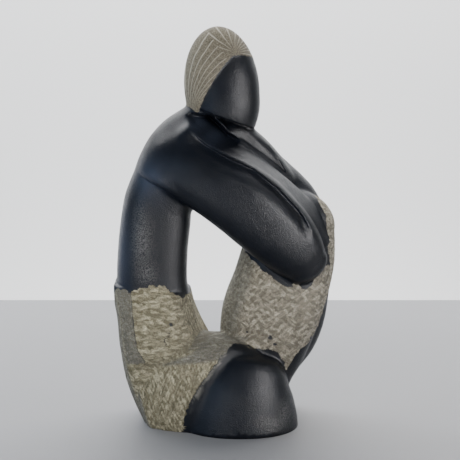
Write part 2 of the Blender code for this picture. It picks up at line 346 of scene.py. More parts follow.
def border(across, up, corners):
    """Signed distance to a closed line in the front view: positive inside it."""
    gap = to_line(across, up, corners + corners[:1])
    inside = np.zeros(len(across), bool)
    for (ax, ay), (bx, by) in zip(corners, corners[1:] + corners[:1]):
        crosses = (ay > up) != (by > up)
        rise = by - ay if by != ay else 1.0
        inside ^= crosses & (across < (bx - ax) * (up - ay) / rise + ax)
    return np.where(inside, gap, -gap)


# %% [markdown]
# Fusing turns the overlapping lofts into one skin, and a few passes of smoothing round
# the creases as rasps, wet paper and wax do. The block is then sawn flat below.

# %%
# Fuse, soften and saw flat
GRAIN = 0.00082
SOFTEN_PASSES = 5


def settle(obj):
    """Replaces an object's mesh by what its modifiers make of it."""
    graph = bpy.context.evaluated_depsgraph_get()
    result = bpy.data.meshes.new_from_object(obj.evaluated_get(graph))
    old = obj.data
    obj.modifiers.clear()
    obj.data = result
    bpy.data.meshes.remove(old)


def places(mesh):
    """A mesh's points as an array."""
    points = np.empty(len(mesh.vertices) * 3, np.float32)
    mesh.vertices.foreach_get("co", points)
    return points.reshape(-1, 3).astype(float)


fuse = figure.modifiers.new("fuse", "REMESH")
fuse.mode = "VOXEL"
fuse.voxel_size = GRAIN
soften = figure.modifiers.new("soften", "SMOOTH")
soften.factor = 0.5
soften.iterations = SOFTEN_PASSES
settle(figure)

# %%
# Melt the shoulders into the back, and round the knee
SHOULDER = [(-26.0, 56.0), (-20.6, 57.0), (-20.0, 62.0), (-19.2, 66.4), (-13.5, 63.2), (-8.0, 60.0),
            (-3.0, 59.0), (2.0, 60.0), (-1.0, 66.0), (-4.0, 70.0), (-8.0, 74.5), (-10.0, 79.0),
            (-12.0, 84.0), (-26.0, 84.0)]
KNEE_DOME = [(-12.0, -6.0), (-9.5, 4.0), (-6.5, 9.5), (-1.5, 14.5), (3.5, 17.2), (9.0, 17.0),
             (13.0, 15.6), (16.5, 10.0), (22.0, -6.0)]
FAR_SHOULDER = [(1.5, 74.6), (6.4, 71.2), (14.8, 64.6), (20.4, 58.8), (24.0, 60.0), (10.0, 76.0),
                (6.6, 76.5)]
NAPE = [(-16.0, 76.0), (-12.0, 78.2), (-8.0, 79.0), (-4.0, 78.4), (-2.0, 77.0), (2.0, 75.4),
        (6.4, 73.0), (5.6, 69.4), (1.0, 67.0), (-6.0, 67.0), (-11.5, 70.0), (-16.0, 72.0)]
MELTS = [(SHOULDER, -1.0, 1.0, 140), (NAPE, -1.0, 0.004, 120),
         (KNEE_DOME, -1.0, -0.010, 90), (FAR_SHOULDER, 0.001, 1.0, 120)]
for corners, front, back, passes in MELTS:
    points = places(figure.data)
    inside = border(points[:, 0] / PART, points[:, 2] / PART, corners)
    share = step(inside, 0.0, 2.5) * (points[:, 1] > front) * (points[:, 1] < back)
    melt = figure.vertex_groups.new(name="melt")
    for level in range(1, 11):
        melt.add(np.flatnonzero(np.ceil(10 * share) == level).tolist(), level / 10, "REPLACE")
    relax = figure.modifiers.new("relax", "SMOOTH")
    relax.factor = 0.5
    relax.iterations = passes
    relax.vertex_group = "melt"
    settle(figure)
    figure.vertex_groups.clear()

# %% [markdown]
# Three ridges run down to the clasped hands, and the middle one is a flat band with crisp
# edges. A carver sinks a valley on each side of it with a gouge, steep at the band and
# fading away from it. At the nape the band twists up to meet the tip of the hair.

# %%
# Sink the valleys beside the middle band, and twist its start up to the nape
FRONT_VALLEY = 0.0042
REAR_VALLEY = 0.0022
GROOVE = np.array([(-11.0, 75.6), (-9.3, 74.0), (-5.05, 70.2), (-0.5, 67.5), (7.0, 64.0), (13.1, 59.3),
                   (18.5, 53.5), (22.5, 47.5)])
CREST = np.array([(-3.1, 78.3), (0.0, 74.4), (9.3, 67.8), (18.8, 60.1)])
SADDLE = [(-10.0, 78.0), (-8.5, 79.0), (-6.4, 78.6), (-3.3, 78.3), (-1.0, 76.2), (0.8, 74.2), (4.0, 72.0),
          (3.0, 69.6), (-1.0, 69.0), (-4.5, 71.2), (-8.5, 75.0)]
points = places(figure.data)
across, up = seen(points).T
front = points[:, 1] < 0.006
twist = step(across, -7.0, 1.0)
middle = np.interp(across, [-9.0, -6.0, 0.0, 4.0], [76.6, 75.4, 71.6, 69.6])
level_at = np.interp(across, [-9.0, -6.0, 0.0, 4.0], [-6.4, -6.2, -5.0, -5.0])
saddle_at = level_at + (2.0 + 1.1 * twist) * (points[:, 2] / PART - middle)
share = step(border(across, up, SADDLE), 0.0, 1.6) * front
points[:, 1] += share * (np.clip(saddle_at, -12.0, 2.0) * PART - points[:, 1])
over = 0.8 * (up - np.interp(across, *GROOVE.T))
valley = np.where(over > 0, np.exp(-(over / 0.5) ** 2), np.exp(-(over / 2.6) ** 2))
valley = FRONT_VALLEY * valley * step(across, -10.5, -4.0) * step(-across, -22.5, -19.0)
over = 0.8 * (up - np.interp(across, *CREST.T))
behind = np.where(over > 0, (1 - np.exp(-(over / 0.35) ** 2)) * np.exp(-(over / 2.4) ** 2), 0)
behind = REAR_VALLEY * behind * step(across, 2.0, 6.0) * step(-across, -19.5, -17.0)
points[:, 1] += front * (valley + behind)
figure.data.vertices.foreach_set("co", points.astype(np.float32).ravel())
figure.data.update()
relax = figure.modifiers.new("relax", "SMOOTH")
relax.factor = 0.5
relax.iterations = 5
settle(figure)
print("valleys reach", (1000 * valley.max()).round(1), "and", (1000 * behind.max()).round(1), "mm")

# %%
# Saw the block flat
block = bmesh.new()
block.from_mesh(figure.data)
saw = bmesh.ops.bisect_plane(
    block, geom=block.verts[:] + block.edges[:] + block.faces[:],
    plane_co=(0, 0, 0), plane_no=(0, 0, -1), clear_outer=True)
rim = [item for item in saw["geom_cut"] if isinstance(item, bmesh.types.BMEdge)]
bmesh.ops.contextual_create(block, geom=rim)
block.to_mesh(figure.data)
block.free()
print("fused skin:", len(figure.data.vertices), "points")

# %%
# The borders that the front view shows, in hundredths of the height
KNEE = [(-14.0, -12), (-10.9, -2.4), (-9.1, 3.0), (-7.3, 7.0), (-4.7, 11.1), (-1.8, 14.3),
        (-1.4, 16.4), (0.4, 17.6), (2.6, 19.3), (5.0, 19.2), (7.4, 17.9), (12.8, 17.2), (14.9, 15.1),
        (16.7, 11.1), (26.0, -12)]
HEM = np.array([(-28.5, 33.2), (-27.2, 33.8), (-23.4, 33.4), (-19.5, 34.3), (-16.6, 34.8), (-14.4, 33.4),
                (-12.6, 32.2), (-10.2, 31.8), (-8.9, 32.6)])
SHIN = [(26.6, 30.0), (24.8, 26.2), (21.8, 20.4), (18.7, 17.2), (15.9, 12.9), (13.0, -12.0),
        (32.0, -12.0), (32.0, 30.0)]
FOREARM_FOOT = [(4.0, 47.0), (4.5, 44.9), (6.3, 41.8), (9.4, 38.7), (14.0, 35.1), (18.6, 33.5),
                (22.1, 34.6), (24.0, 42.0), (14.0, 48.0)]
SLIVER = [(14.2, 39.7), (19.3, 34.2), (18.1, 33.8), (15.5, 37.0)]
SKIN = ("near_knee", "shin", "near_arm", "middle_arm", "far_arm", "neck", "throat",
        "head")
CLOTH = ("hips", "lap", "near_thigh", "raised_leg")


def zones(points):
    """Masks from 0 to 1 for cloth and hair, and what they were worked out from."""
    depth = {limb: outside(points, limb) for limb in LIMBS}
    depth["hair"] = np.minimum(depth["hair"], depth["crown"])
    place, way = CUTS["hips"]
    above_hem = (points / PART - place) @ unit(way) > 0
    cloth = np.minimum.reduce([depth[limb] for limb in CLOTH])
    cloth = np.where(above_hem, cloth, np.minimum(cloth, depth["trunk"]))
    bare = np.minimum.reduce([depth[limb] for limb in SKIN])
    bare = np.where(above_hem, np.minimum(bare, depth["trunk"]), bare)
    across, up = seen(points).T
    near_side = points[:, 1] < 0.002
    ragged = 0.30 * drift(points, 0.0042, 1) + 0.26 * drift(points, 0.0017, 2)
    lead = bare - cloth
    mirrored = points * [1, -1, 1]
    hem_across, hem_up = seen(np.where(points[:, 1:2] > 0, mirrored, points)).T
    hem = np.interp(hem_across, *HEM.T) + 1.3 * ragged - hem_up
    lead = np.where((hem_up > 29) & (hem_across < -5), hem, lead)
    knee = border(across, up, KNEE) + 0.55 * drift(points, 0.0030, 5)
    lead = np.where(near_side & (up < 20) & (knee > -6), -knee, lead)
    lead = np.where(up < 34, np.minimum(lead, -border(across, up, SHIN)), lead)
    foot = np.minimum(border(across, up, FOREARM_FOOT), -border(across, up, SLIVER))
    lead = np.where(near_side, np.minimum(lead, -foot), lead)
    band = np.interp(up, [40.0, 46.5, 52.9, 54.7, 56.7, 60.0], [26.6, 25.8, 25.4, 24.4, 23.4, 21.0])
    lead = np.where((up > 40) & (across > 15), np.minimum(lead, 2.2 * (across - band)), lead)
    skirt = step(lead + ragged, -0.10, 0.10) * (depth["hair"] > 0.5)
    hair = step(np.minimum(bare, cloth) - depth["hair"] + 0.4 * ragged, -0.05, 0.05)
    return {"skirt": skirt, "hair": hair, "across": across, "up": up, "depth": depth,
            "knee": knee, "margin": np.abs(lead)}


# %% [markdown]
# Rubbed stone is smooth, so it needs few triangles; chiselled stone needs them all. The
# rubbed skin is thinned, its triangles collapsing where the surface is flattest, and the
# cloth, the hair and a margin round them are kept as they are.

# %%
# Thin the rubbed skin
points = places(figure.data)
masks = zones(points)
rubbed = (masks["skirt"] < 0.01) & (masks["hair"] < 0.01) & (masks["margin"] > 0.5)
rubbed &= masks["depth"]["hair"] > 0.5
group = figure.vertex_groups.new(name="rubbed")
group.add(np.flatnonzero(rubbed).tolist(), 1.0, "REPLACE")
TRIANGLES = 196000
counts = np.empty(len(figure.data.polygons), np.int32)
figure.data.polygons.foreach_get("loop_total", counts)
thin = figure.modifiers.new("thin", "DECIMATE")
thin.ratio = TRIANGLES / (counts - 2).sum()
thin.vertex_group = "rubbed"
thin.use_collapse_triangulate = True
settle(figure)
figure.vertex_groups.clear()
print("triangles:", (counts - 2).sum(), "thinned to", len(figure.data.polygons),
      "rubbed share", rubbed.mean().round(3))

# %% [markdown]
# The skirt is cut with a flat chisel held at a slant. Each blow leaves a short wedge: it
# starts at nothing, widens and deepens, and stops at a steep end. Along the hips the
# blows lie in level rows, on the raised thigh they cross each other, and down the folded
# thigh they are long and lean back. One function scatters them on a jittered lattice.

# %%
# One scatter of wedge-shaped cuts
def cuts(a, b, lean, pitch, length, width, spread, seed):
    """Depth from 0 to 1 and paleness from 0 to 1 of wedges on the plane (a, b), in mm.

    In a cell's own turned axes (x, y) a wedge is t (1 - |y| / (w (0.25 + 0.75 t))) for
    t = x / L + 1/2 between 0 and 1. The deepest wedge of the nine nearest cells wins.
    """
    turn = math.radians(lean)
    u = a * math.cos(turn) + b * math.sin(turn)
    v = b * math.cos(turn) - a * math.sin(turn)
    row = np.floor(v / pitch[1])
    column = np.floor(u / pitch[0])
    deep = np.zeros(len(a))
    pale = np.zeros(len(a))
    for i, j in np.ndindex(3, 3):
        r, c = row + i - 1, column + j - 1
        shift, lift, twist, grow, tint = (chance(c, r, seed=seed + n) for n in range(5))
        x = u - (c + 0.5 + 0.6 * (shift - 0.5) + 0.5 * np.mod(r, 2)) * pitch[0]
        y = v - (r + 0.5 + 0.6 * (lift - 0.5)) * pitch[1]
        angle = np.radians(spread) * (2 * twist - 1)
        x, y = x * np.cos(angle) + y * np.sin(angle), y * np.cos(angle) - x * np.sin(angle)
        t = x / (length * (0.6 + 0.7 * grow)) + 0.5
        wedge = t * (1 - np.abs(y) / (width * (0.25 + 0.75 * t).clip(0.05)))
        wedge = np.where((t > 0) & (t < 1), np.clip(wedge, 0, 1), 0) * (0.55 + 0.45 * tint)
        pale = np.where(wedge > deep, 0.35 + 0.65 * tint, pale)
        deep = np.maximum(deep, wedge)
    return deep, pale


# %%
# The masses' cuts, blended over the planes that the surface faces
points = places(figure.data)
masks = zones(points)
normals = np.empty(len(points) * 3, np.float32)
figure.data.vertices.foreach_get("normal", normals)
normals = normals.reshape(-1, 3).astype(float)
across, up, depth = masks["across"], masks["up"], masks["depth"]
x, y, z = (points * 1000).T
side = step(np.abs(normals[:, 1]), 0.55, 0.75)


def blend(share, first, second):
    """share of the first answer and the rest of the second, for each in turn."""
    return [share * one + (1 - share) * other for one, other in zip(first, second)]


def both(first, second):
    """The deeper of two scatters of cuts."""
    deeper = first[0] > second[0]
    return [np.where(deeper, one, other) for one, other in zip(first, second)]


level = both(cuts(x, z, 12, (8.6, 4.4), 8.6, 1.5, 14, 10), cuts(x, z, 160, (8.6, 4.8), 8.0, 1.4, 16, 20))
crossed = both(cuts(x, z, 38, (7.4, 4.4), 7.0, 1.5, 30, 30), cuts(x, z, 140, (7.4, 4.6), 6.6, 1.4, 28, 40))
leaning = both(cuts(x, z, 116, (7.6, 2.9), 7.4, 1.0, 14, 50), cuts(x, z, 104, (8.4, 3.4), 6.4, 0.9, 16, 55))
edge_rows = both(cuts(y, z, 30, (4.6, 2.6), 4.4, 1.2, 20, 60), cuts(y, z, 150, (4.6, 2.6), 4.4, 1.2, 20, 70))
back_lines = cuts(y, z, 84, (7.0, 1.6), 7.5, 0.8, 10, 80)
band_lines = cuts(x, z, 80, (5.0, 1.5), 4.6, 0.7, 14, 85)
combed = cuts(x, z + 0.3 * y, 8, (9.0, 1.8), 9.0, 0.8, 16, 90)

thigh_share = step(depth["hips"] - np.minimum(depth["near_thigh"], depth["lap"]), -0.3, 0.3)
leg_share = step(np.minimum(depth["hips"], depth["near_thigh"]) - depth["raised_leg"], -0.3, 0.3)
hip_cut = blend(side, level, back_lines)
thigh_cut = blend(side, leaning, back_lines)
leg_cut = blend(side, crossed, edge_rows)
cut = blend(leg_share, leg_cut, blend(thigh_share, thigh_cut, hip_cut))
LAP = [(-16.5, 13.6), (-9.0, 16.6), (-4.4, 20.9), (0.0, 22.5), (6.0, 21.0), (2.0, 16.5),
       (-1.6, 15.0), (-6.5, 14.2)]
lap = step(border(across, up, LAP), -0.6, 0.6) * (points[:, 1] < 0.02)
lap = np.maximum(lap, step(normals[:, 2], 0.55, 0.8) * (z < 70))
cut = blend(lap, [0.55 * combed[0], combed[1]], cut)
SCORE = [(-24.2, 35.5), (-23.9, 31.0), (-23.4, 23.0), (-22.6, 17.6), (-20.6, 14.4)]
CREASE = [(-21.1, 13.4), (-15.5, 15.2), (-9.0, 19.1), (-4.4, 22.5)]
CRACK = [(-15.4, 22.3), (-14.0, 22.1), (-14.5, 21.1), (-15.6, 20.6), (-15.5, 19.7), (-15.1, 19.2)]
on_near_side = points[:, 1] < 0.0
score_at = np.interp(up, [point[1] for point in SCORE[::-1]], [point[0] for point in SCORE[::-1]])
behind = step(score_at - across, -0.1, 0.1) * on_near_side * (up > 14.0) * side
cut = blend(behind, [0.6 * band_lines[0], 0.6 * band_lines[1]], cut)
scored = np.minimum(to_line(across, up, SCORE), to_line(across, up, CRACK))
scored = np.where(on_near_side, scored + 0.06 * drift(points, 0.0014, 8), 9.0)
# A mask along the crease: it sinks a groove there and gives it painted shade.
crease_groove_and_shade = np.exp(-(to_line(across, up, CREASE) / 1.0) ** 2) * on_near_side
CUT_DEPTH = 0.00055
skirt, hair = masks["skirt"], masks["hair"]
bite = cut[0] * skirt
print("cuts reach", (CUT_DEPTH * 1000 * bite.max()).round(2), "mm, mean", bite[skirt > 0.5].mean().round(3))

# %% [markdown]
# The knee is set off from the skirt by a scratched lip that stands a little proud. A few
# blows went too deep and hold black wax.

# %%
# Lip, pits and the last move of the surface
PIT_DEPTH = 0.0008
SCRATCH_DEPTH = 0.0004
LIP_HEIGHT = 0.00025
BOX_MARGIN = 5e-5
PITS = [(-13.7, 24.5, 0.40), (-15.1, 19.1, 0.26), (5.6, 22.5, 0.34), (11.5, 20.9, 0.55), (12.8, 19.1, 0.40)]
pit = np.zeros(len(points))
for pit_across, pit_up, radius in PITS:
    gap = np.hypot(across - pit_across, up - pit_up) / radius + 0.7 * drift(points, 0.0011, 3)
    pit = np.maximum(pit, step(1.6 - gap, 0, 1) * on_near_side)
lip = np.exp(-((masks["knee"] - 0.55) / 0.28) ** 2) * on_near_side * step(-up, -17.5, -15.5)
lip = lip * step(across, -9.5, -7.0) * step(-across, -5.0, -3.0) * (skirt < 0.5)
groove = PIT_DEPTH * pit + SCRATCH_DEPTH * np.exp(-(scored / 0.2) ** 2) + SCRATCH_DEPTH * crease_groove_and_shade
points -= normals * (CUT_DEPTH * bite + groove * skirt - LIP_HEIGHT * lip)[:, None]
points = np.clip(points, SOLID_LOW + BOX_MARGIN, SOLID_HIGH - BOX_MARGIN)
figure.data.vertices.foreach_set("co", points.astype(np.float32).ravel())
figure.data.update()


def keep(name, values):
    """Stores one number for each point, for the materials to read."""
    layer = figure.data.attributes.new(name, "FLOAT", "POINT")
    layer.data.foreach_set("value", np.asarray(values, np.float32))


keep("bite", bite)
keep("paleness", cut[1] * (cut[0] > 0.02))
turned_back = step(-normals[:, 0], 0.2, 0.5) * np.maximum((1 - side) * (1 - leg_share), leg_share)
keep("greyness", np.clip(np.maximum.reduce([lap, turned_back, behind]), 0, 1))
keep("scored", scored)
keep("crease_groove_and_shade", crease_groove_and_shade)
keep("on_leg", leg_share)
keep("on_thigh", thigh_share * side * (1 - leg_share) * (1 - lap))
keep("pit", pit)
keep("lip", lip)
keep("skirt", skirt)
NAPE_END, BROW_END = (-8.0, 79.0), (2.6, 93.4)
from_nape = np.hypot(across - NAPE_END[0], up - NAPE_END[1])
swept = np.degrees(np.arctan2(up - NAPE_END[1], across - NAPE_END[0])) + 1.7 * from_nape
fanned = np.degrees(np.arctan2(up - BROW_END[1], across - BROW_END[0]))
from_brow = np.hypot(across - BROW_END[0], up - BROW_END[1])
PARTING_FROM = np.array([-3.4, 98.8])
PARTING_WAY = unit(np.array([3.9, -5.3]))
past = (across - PARTING_FROM[0]) * -PARTING_WAY[1] + (up - PARTING_FROM[1]) * PARTING_WAY[0]
keep("swept", swept)
keep("fanned", fanned)
keep("clear", np.where(past + 0.9 > 0, step(from_brow, 0.8, 1.8) * (fanned > -20), step(from_nape, 1.5, 4.0)))
# Patches painted grey on the wax: partly scuffing, partly a painted highlight on the trunk's side and the
# knee's tip.
SCUFF_AND_HIGHLIGHT_SPOTS = [(-21.0, 46.0, 2.4, 9.0), (-20.0, 38.0, 2.6, 3.0), (15.6, 0.5, 1.8, 3.6), (13.0, -2.0, 4.0, 1.6)]
# Patches of painted bluish sheen, a painted reflection of the window, on the nape and the shoulder.
PAINTED_SHEEN_SPOTS = [(-6.0, 76.0, 3.0, 2.4), (-2.6, 73.2, 3.0, 2.4), (-19.0, 62.0, 4.0, 5.0)]


def spots(places_and_sizes):
    """Soft round patches in the front view, on the near side: exp(-(a/wide)^2 - (b/high)^2)."""
    amount = np.zeros(len(points))
    for spot_across, spot_up, wide, high in places_and_sizes:
        spot = np.exp(-((across - spot_across) / wide) ** 2 - ((up - spot_up) / high) ** 2)
        amount = np.maximum(amount, spot * step(-points[:, 1], -0.002, 0.004))
    return amount


keep("scuff_and_highlight", spots(SCUFF_AND_HIGHLIGHT_SPOTS))
# The painted bluish sheen also runs down the back of the trunk.
keep("painted_sheen", np.maximum(spots(PAINTED_SHEEN_SPOTS), np.exp(-((across + 26.5) / 2.0) ** 2 - ((up - 46.0) / 14.0) ** 2)))
keep("parting", past + 0.9)

polygon_points = np.empty(len(figure.data.loops), np.int32)
figure.data.loops.foreach_get("vertex_index", polygon_points)
counts = np.empty(len(figure.data.polygons), np.int32)
figure.data.polygons.foreach_get("loop_total", counts)
starts = np.r_[0, np.cumsum(counts)[:-1]]
share_of = {name: np.add.reduceat(value[polygon_points], starts) / counts
            for name, value in (("skirt", skirt), ("hair", hair))}
slots = np.where(share_of["hair"] > 0.5, 2, np.where(share_of["skirt"] > 0.5, 1, 0))
print("faces of skin, skirt, hair:", np.bincount(slots, minlength=3))

# %% [markdown]
# The two finishes are the same stone. Under wax it is nearly black, with a cool cast;
# where the chisel bruised it, it is a matt grey tan. Both show the same fine grain, so
# the grain is made once, as a group of nodes that each finish uses in its own way.

# %%
# Helpers for nodes, and the stone's grain
def add(tree, kind, inputs=None, **settings):
    """A new node with its settings made and its inputs filled or linked."""
    new = tree.nodes.new("ShaderNode" + kind)
    for key, value in settings.items():
        setattr(new, key, value)
    for key, value in (inputs or {}).items():
        if isinstance(value, bpy.types.NodeSocket):
            tree.links.new(value, new.inputs[key])
        else:
            new.inputs[key].default_value = value
    return new


def maths(tree, operation, a, b=0.0, clamp=False):
    """One arithmetic node."""
    return add(tree, "Math", {0: a, 1: b}, operation=operation, use_clamp=clamp).outputs[0]


def mixed(tree, share, a, b):
    """Two colours mixed."""
    return add(tree, "Mix", {"Factor": share, 6: a, 7: b}, data_type="RGBA").outputs[2]


def read(tree, name):
    """One of the numbers kept on the surface."""
    return add(tree, "Attribute", attribute_name=name).outputs["Fac"]


grain = bpy.data.node_groups.new("stone_grain", "ShaderNodeTree")
for output in ("Speckle", "Cloud", "Height"):
    grain.interface.new_socket(output, in_out="OUTPUT", socket_type="NodeSocketFloat")
grain_out = grain.nodes.new("NodeGroupOutput")
where = add(grain, "TexCoord").outputs["Object"]
fine = add(grain, "TexNoise", {"Vector": where, "Scale": 1500.0, "Detail": 3.0,
                               "Roughness": 0.6}).outputs["Fac"]
broad = add(grain, "TexNoise", {"Vector": where, "Scale": 60.0, "Detail": 4.0,
                                "Roughness": 0.55}).outputs["Fac"]
speckle = add(grain, "MapRange", {"Value": fine, "From Min": 0.38, "From Max": 0.62}).outputs[0]
grain.links.new(speckle, grain_out.inputs["Speckle"])
grain.links.new(broad, grain_out.inputs["Cloud"])
rise = maths(grain, "ADD", maths(grain, "MULTIPLY", fine, 0.7), maths(grain, "MULTIPLY", broad, 0.3))
grain.links.new(rise, grain_out.inputs["Height"])


def stone(name):
    """A material with its node tree, its shader and the outputs of the grain."""
    material = bpy.data.materials.new(name)
    material.use_nodes = True
    tree = material.node_tree
    grains = tree.nodes.new("ShaderNodeGroup")
    grains.node_tree = grain
    return material, tree, tree.nodes["Principled BSDF"], grains.outputs


# %% [markdown]
# Waxed stone: almost no colour of its own, and a sheen that is broken by rubbing marks
# and thumbed wax. Grey patches are painted on it, partly scuffing and partly a painted
# highlight down the side of the trunk and at the knee's tip. A painted bluish sheen on
# the back, the shoulder and the nape stands in for the window's reflection. The lip
# scratched round the knee shows pale stone.

# %%
# The waxed skin
skin_material, tree, shader, grains = stone("waxed_stone")
deep_black = (0.0035, 0.0050, 0.0090, 1)
worn_black = (0.0090, 0.0120, 0.0190, 1)
scuff_and_highlight_grey = (0.150, 0.150, 0.152, 1)
painted_sheen = (0.048, 0.060, 0.090, 1)
scratched = (0.30, 0.29, 0.25, 1)
colour = mixed(tree, maths(tree, "MULTIPLY", grains["Cloud"], 0.8), deep_black, worn_black)
# Grey painted on the patches: partly scuffing, partly a painted highlight.
scuff_and_highlight_share = maths(tree, "MULTIPLY", read(tree, "scuff_and_highlight"), grains["Speckle"])
colour = mixed(tree, scuff_and_highlight_share, colour, scuff_and_highlight_grey)
# Painted bluish sheen: a painted reflection of the window.
colour = mixed(tree, maths(tree, "MULTIPLY", read(tree, "painted_sheen"), 0.75), colour, painted_sheen)
colour = mixed(tree, maths(tree, "MULTIPLY", read(tree, "lip"), 0.7), colour, scratched)
tree.links.new(colour, shader.inputs["Base Color"])
where = add(tree, "TexCoord").outputs["Object"]
thumbed = add(tree, "TexNoise", {"Vector": where, "Scale": 140.0, "Detail": 5.0,
                                 "Roughness": 0.65}).outputs["Fac"]
rough = add(tree, "MapRange", {"Value": thumbed, "From Min": 0.3, "From Max": 0.7,
                               "To Min": 0.31, "To Max": 0.45}).outputs[0]
tree.links.new(rough, shader.inputs["Roughness"])
relief = maths(tree, "ADD", grains["Height"], maths(tree, "MULTIPLY", thumbed, 0.8))
bump = add(tree, "Bump", {"Height": relief, "Strength": 0.6, "Distance": 0.0005})
tree.links.new(bump.outputs["Normal"], shader.inputs["Normal"])
shader.inputs["Specular IOR Level"].default_value = 0.2

# %% [markdown]
# Chiselled stone: every blow crushes a pale streak. The gaps between streaks are painted
# dark, partly the stone that no blow bruised and partly painted shade in the grooves
# between blows, and the crease at the foot of the hip panel gets painted shade too.
# Streaks too fine for the surface itself are cells stretched along the blow, each with a
# tint of its own. Two leans of them cross, as on the real skirt, and pits hold wax.
# The skirt is painted darker towards the ground.

# %%
# Streaks left by the chisel
streaks = bpy.data.node_groups.new("chisel_streaks", "ShaderNodeTree")
for name, value in (("Lean", 0.0), ("Length", 0.006), ("Width", 0.0014)):
    streaks.interface.new_socket(name, in_out="INPUT", socket_type="NodeSocketFloat").default_value = value
for name in ("Tint", "Gap"):
    streaks.interface.new_socket(name, in_out="OUTPUT", socket_type="NodeSocketFloat")
streaks_in = streaks.nodes.new("NodeGroupInput").outputs
streaks_out = streaks.nodes.new("NodeGroupOutput").inputs
where = add(streaks, "TexCoord").outputs["Object"]
bent = add(streaks, "TexNoise", {"Vector": where, "Scale": 160.0, "Detail": 1.0}).outputs["Color"]
bend = add(streaks, "VectorMath", {0: bent, "Scale": 0.0022}, operation="SCALE").outputs[0]
bent = add(streaks, "VectorMath", {0: where, 1: bend}, operation="ADD").outputs[0]
turned = add(streaks, "VectorRotate", {"Vector": bent, "Angle": streaks_in["Lean"]},
             rotation_type="Y_AXIS").outputs[0]
size = add(streaks, "CombineXYZ", {"X": streaks_in["Length"], "Y": streaks_in["Width"],
                                   "Z": streaks_in["Width"]}).outputs[0]
cells = add(streaks, "VectorMath", {0: turned, 1: size}, operation="DIVIDE").outputs[0]
tint = add(streaks, "TexVoronoi", {"Vector": cells, "Scale": 1.0}).outputs["Color"]
edge = add(streaks, "TexVoronoi", {"Vector": cells, "Scale": 1.0},
           feature="DISTANCE_TO_EDGE").outputs["Distance"]
streaks.links.new(add(streaks, "SeparateColor", {"Color": tint}).outputs[0], streaks_out["Tint"])
# The cell edges are painted dark later: partly unbruised stone, partly painted shade in the grooves.
gap = add(streaks, "MapRange", {"Value": edge, "From Max": 0.16, "To Min": 1.0, "To Max": 0.0}).outputs[0]
streaks.links.new(gap, streaks_out["Gap"])


def streaked(tree, lean, length, width):
    """The tint and the gaps of streaks with a lean in degrees and a size in metres."""
    node = tree.nodes.new("ShaderNodeGroup")
    node.node_tree = streaks
    node.inputs["Lean"].default_value = math.radians(lean)
    node.inputs["Length"].default_value = length
    node.inputs["Width"].default_value = width
    return node.outputs["Tint"], node.outputs["Gap"]


def chosen(tree, share, a, b):
    """Two pairs of numbers mixed, a where the share is 0 and b where it is 1."""
    return [add(tree, "Mix", {"Factor": share, 2: one, 3: other}, data_type="FLOAT").outputs[0]
            for one, other in zip(a, b)]


# %%
# The chiselled skirt
skirt_material, tree, shader, grains = stone("chiselled_stone")
patches = add(tree, "TexNoise", {"Vector": add(tree, "TexCoord").outputs["Object"], "Scale": 170.0,
                                 "Detail": 1.0}).outputs["Fac"]
patches = add(tree, "MapRange", {"Value": patches, "From Min": 0.47, "From Max": 0.53}).outputs[0]
level_marks = chosen(tree, patches, streaked(tree, 14, 0.0095, 0.0016), streaked(tree, -18, 0.0095, 0.0016))
crossed_marks = chosen(tree, patches, streaked(tree, 35, 0.0080, 0.0014), streaked(tree, -40, 0.0080, 0.0014))
leaning_marks = streaked(tree, 66, 0.0110, 0.0012)
marks = chosen(tree, read(tree, "on_leg"), level_marks, crossed_marks)
marks = chosen(tree, read(tree, "on_thigh"), marks, leaning_marks)
gap_and_crease_shade = (0.090, 0.078, 0.044, 1)
warm_low, warm_high = (0.112, 0.096, 0.048, 1), (0.580, 0.530, 0.360, 1)
pink_low, pink_high = (0.104, 0.090, 0.062, 1), (0.540, 0.490, 0.380, 1)
grey_low, grey_high = (0.095, 0.090, 0.070, 1), (0.280, 0.268, 0.220, 1)
wax = (0.012, 0.013, 0.017, 1)
bitten = add(tree, "MapRange", {"Value": read(tree, "bite"), "From Max": 0.22}).outputs[0]
pale = maths(tree, "MULTIPLY", bitten, read(tree, "paleness"))
light = maths(tree, "ADD", maths(tree, "MULTIPLY", marks[0], 0.42),
              maths(tree, "MULTIPLY", pale, 0.62), clamp=True)
warm = mixed(tree, light, warm_low, warm_high)
pink = mixed(tree, light, pink_low, pink_high)
grey = mixed(tree, light, grey_low, grey_high)
colour = mixed(tree, read(tree, "on_leg"), warm, pink)
colour = mixed(tree, read(tree, "greyness"), colour, grey)
# Painted shade: part of the streak gaps' darkness, and the crease at the foot of the hip panel.
gaps = maths(tree, "MULTIPLY", marks[1], 0.5)
shaded = maths(tree, "ADD", gaps, maths(tree, "MULTIPLY", read(tree, "crease_groove_and_shade"), 0.45), clamp=True)
colour = mixed(tree, shaded, colour, gap_and_crease_shade)
speck = add(tree, "MapRange", {"Value": grains["Speckle"], "To Min": 0.82, "To Max": 1.48}).outputs[0]
# The skirt is painted darker towards the ground.
height = add(tree, "SeparateXYZ", {0: add(tree, "TexCoord").outputs["Object"]}).outputs["Z"]
darker_low = add(tree, "MapRange", {"Value": height, "From Min": 0.015, "From Max": 0.085,
                                 "To Min": 0.76}).outputs[0]
speck = maths(tree, "MULTIPLY", speck, darker_low)
tinted = add(tree, "Mix", {"Factor": 1.0, 6: colour, 7: speck}, data_type="RGBA",
             blend_type="MULTIPLY").outputs[2]
dark = add(tree, "MapRange", {"Value": read(tree, "pit"), "From Min": 0.3, "From Max": 0.8}).outputs[0]
inked = add(tree, "MapRange", {"Value": read(tree, "scored"), "From Min": 0.08, "From Max": 0.17,
                               "To Min": 0.85, "To Max": 0.0}).outputs[0]
dark = maths(tree, "MAXIMUM", dark, inked)
tree.links.new(mixed(tree, dark, tinted, wax), shader.inputs["Base Color"])
shader.inputs["Roughness"].default_value = 0.82
